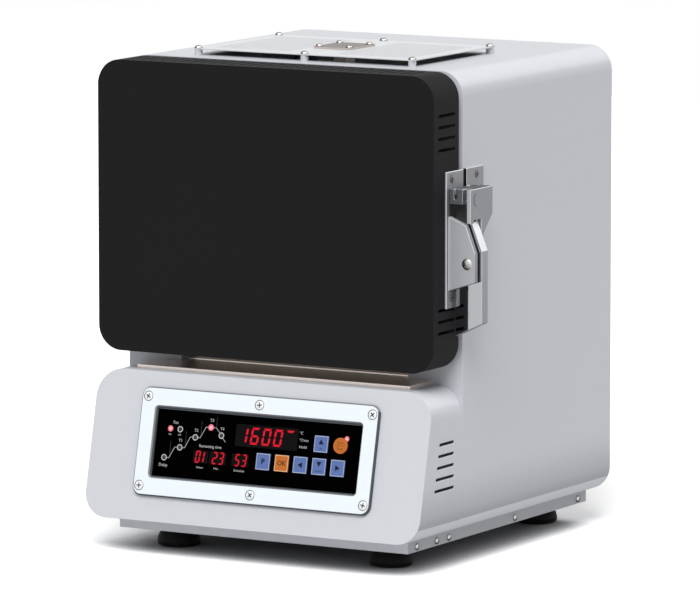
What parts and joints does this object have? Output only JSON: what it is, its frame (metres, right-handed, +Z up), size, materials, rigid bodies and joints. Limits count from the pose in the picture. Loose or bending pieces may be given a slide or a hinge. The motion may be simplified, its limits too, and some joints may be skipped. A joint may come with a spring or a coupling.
{
  "type": "dental furnace",
  "caption": "Bench-top dental furnace with a side-hung door, a claw latch, a sloping key panel, a heat tray and a raised vent cover on the roof.",
  "frame": {"origin": "on the bench under the middle of the whole object", "axes": "+Z up, the door and the console face -Y, the latch is on the +X side"},
  "size_m": [0.4306, 0.4093, 0.5049],
  "materials": {
    "white_paint": "satin, very fine texture",
    "black_paint": "fine-textured powder coat",
    "rubber": "matt",
    "tray_steel": "polished, heat-tinted",
    "bezel_aluminium": "bright anodised",
    "screw_steel": "satin",
    "latch_steel": "satin",
    "handle_steel": "polished",
    "panel_black": "gloss film",
    "display_red": "dark red window",
    "board_green": "solder mask",
    "key_blue": "satin film",
    "key_orange": "satin film",
    "heat_steel": "bare zinc-coated sheet",
    "mouth_steel": "heat-tinted",
    "fibre_board": "matt fibre board",
    "hearth_ceramic": "matt",
    "element_grey": "glassy oxide skin",
    "strap_aluminium": "satin",
    "transformer_iron": "varnished",
    "fan_black": "satin",
    "guard_wire": "bright"
  },
  "bodies": {
    "cabinet": {"cabinet_shell": "white_paint", "front_frame": "white_paint", "rear_panel": "white_paint", "console_shell": "white_paint", "base_pan": "white_paint", "vent_cover": "white_paint", "vent_posts": "white_paint", "front_feet": "rubber", "rear_feet": "rubber", "heat_tray": "tray_steel", "probe_plate": "tray_steel", "bezel": "bezel_aluminium", "bezel_screws": "screw_steel", "base_screws": "screw_steel", "rear_screws": "screw_steel", "vent_screws": "screw_steel", "probe_screws": "screw_steel", "keeper_screws": "screw_steel", "hinge_pins": "screw_steel", "keeper_plate": "latch_steel", "hinge_cabinet_leaves": "latch_steel", "control_panel": "panel_black", "display_windows": "display_red", "control_board": "board_green", "deck": "heat_steel", "chamber_casing": "heat_steel", "mouth_frame": "mouth_steel", "insulation": "fibre_board", "hearth_plate": "hearth_ceramic", "thermocouple": "hearth_ceramic", "heating_elements": "element_grey", "element_straps": "strap_aluminium", "power_module": "strap_aluminium", "transformer": "transformer_iron", "fan_housing": "fan_black", "switch_frame": "fan_black", "power_inlet": "fan_black", "fan_guard": "guard_wire"},
    "door": {"door_cover": "black_paint", "door_panel": "heat_steel", "door_screws": "screw_steel", "door_insulation": "fibre_board", "door_plug": "fibre_board", "door_gasket": "fibre_board", "hinge_door_leaves": "latch_steel", "latch_base": "latch_steel", "latch_pins": "screw_steel", "latch_screws": "screw_steel"},
    "handle": {"latch_handle": "handle_steel"},
    "claw": {"latch_claw": "latch_steel", "claw_fasteners": "screw_steel"},
    "fan": {"fan_rotor": "fan_black"},
    "rocker": {"power_switch": "fan_black"},
    "button_p": {"key_p": "key_blue"},
    "button_ok": {"key_ok": "key_orange"},
    "button_left": {"key_left": "key_blue"},
    "button_down": {"key_down": "key_blue"},
    "button_right": {"key_right": "key_blue"},
    "button_up": {"key_up": "key_blue"},
    "button_start": {"key_start": "key_orange"}
  },
  "joints": [
    {"name": "door_swing", "type": "hinge", "parent": "cabinet", "child": "door", "pos_m": [-0.2103, -0.11626, 0.345], "axis": [0, 0, -1], "range_deg": [0, 125]},
    {"name": "handle_pull", "type": "hinge", "parent": "door", "child": "handle", "pos_m": [0.2034, -0.12926, 0.3076], "axis": [0, -1, 0], "range_deg": [0, 25]},
    {"name": "claw_swing", "type": "hinge", "parent": "door", "child": "claw", "pos_m": [0.1927, -0.12926, 0.3379], "axis": [0, 1, 0], "range_deg": [0, 20]},
    {"name": "fan_spin", "type": "hinge", "parent": "cabinet", "child": "fan", "pos_m": [0.0587, 0.18879, 0.1162], "axis": [0, 1, 0], "continuous": true},
    {"name": "power_rock", "type": "hinge", "parent": "cabinet", "child": "rocker", "pos_m": [-0.0773, 0.20079, 0.0942], "axis": [-1, 0, 0], "range_deg": [0, 12]},
    {"name": "press_p", "type": "slide", "parent": "cabinet", "child": "button_p", "axis": [0, 0.9763, -0.2164], "range_m": [0, 0.0007], "stiffness_N_per_m": 500},
    {"name": "press_ok", "type": "slide", "parent": "cabinet", "child": "button_ok", "axis": [0, 0.9763, -0.2164], "range_m": [0, 0.0007], "stiffness_N_per_m": 500},
    {"name": "press_left", "type": "slide", "parent": "cabinet", "child": "button_left", "axis": [0, 0.9763, -0.2164], "range_m": [0, 0.0007], "stiffness_N_per_m": 500},
    {"name": "press_down", "type": "slide", "parent": "cabinet", "child": "button_down", "axis": [0, 0.9763, -0.2164], "range_m": [0, 0.0007], "stiffness_N_per_m": 500},
    {"name": "press_right", "type": "slide", "parent": "cabinet", "child": "button_right", "axis": [0, 0.9763, -0.2164], "range_m": [0, 0.0007], "stiffness_N_per_m": 500},
    {"name": "press_up", "type": "slide", "parent": "cabinet", "child": "button_up", "axis": [0, 0.9763, -0.2164], "range_m": [0, 0.0007], "stiffness_N_per_m": 500},
    {"name": "press_start", "type": "slide", "parent": "cabinet", "child": "button_start", "axis": [0, 0.9763, -0.2164], "range_m": [0, 0.0007], "stiffness_N_per_m": 500}
  ],
  "couplings": [
    {"joint": "claw_swing", "follows": "handle_pull", "ratio": 0.8}
  ]
}
